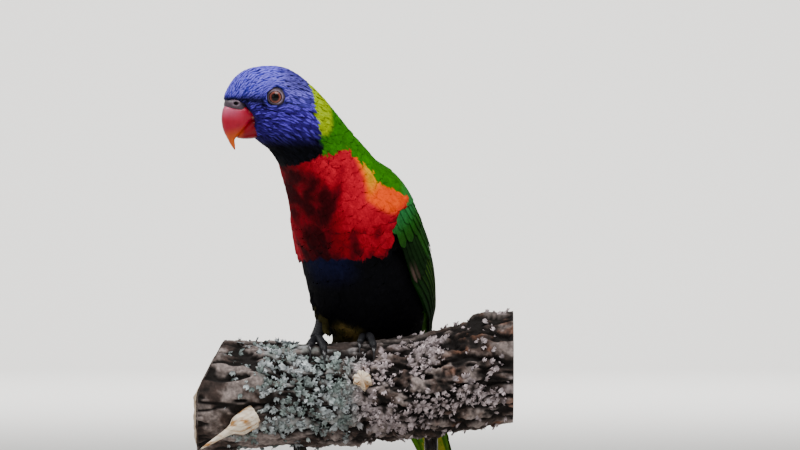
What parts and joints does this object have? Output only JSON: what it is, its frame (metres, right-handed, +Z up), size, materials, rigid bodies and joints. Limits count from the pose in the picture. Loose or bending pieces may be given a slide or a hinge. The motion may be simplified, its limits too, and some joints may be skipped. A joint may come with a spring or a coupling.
{
  "type": "parrot display model",
  "caption": "Life-size still model of a rainbow lorikeet gripping a cut length of lichened branch, held up by a plain stand with a flat base.",
  "frame": {"origin": "centre of the stand's flat underside", "axes": "+Z up, +X along the branch towards its sawn end, -Y the side that the breast faces; the bird faces between -Y and -X and looks towards -X"},
  "size_m": [0.16, 0.1416, 0.2699],
  "materials": {
    "plumage_blue": "matt",
    "plumage_green": "satin",
    "plumage_red": "matt",
    "bill": "satin",
    "cere": "matt",
    "eye": "wet gloss",
    "scaly_skin": "matt",
    "claw": "satin",
    "bark": "rough, lichened",
    "bare_wood": "matt",
    "stand_wood": "satin varnish",
    "stand_steel": "satin"
  },
  "bodies": {
    "root": {"head": "plumage_blue", "neck": "plumage_green", "torso": "plumage_red", "wing_left": "plumage_green", "wing_right": "plumage_green", "tail": "plumage_green", "thigh_left": "plumage_green", "thigh_right": "plumage_green", "cere": "cere", "upper_bill": "bill", "lower_bill": "bill", "eye_left": "eye", "eye_right": "eye", "foot_left": "scaly_skin", "foot_right": "scaly_skin", "claw_left_1": "claw", "claw_left_2": "claw", "claw_left_3": "claw", "claw_left_4": "claw", "claw_right_1": "claw", "claw_right_2": "claw", "claw_right_3": "claw", "claw_right_4": "claw", "perch": "bark", "perch_cut_stub": "bare_wood", "perch_spike": "bare_wood", "stand_base": "stand_wood", "stand_rod_1": "stand_steel", "stand_rod_2": "stand_steel", "stand_collar_1": "stand_steel", "stand_collar_2": "stand_steel"}
  },
  "joints": []
}
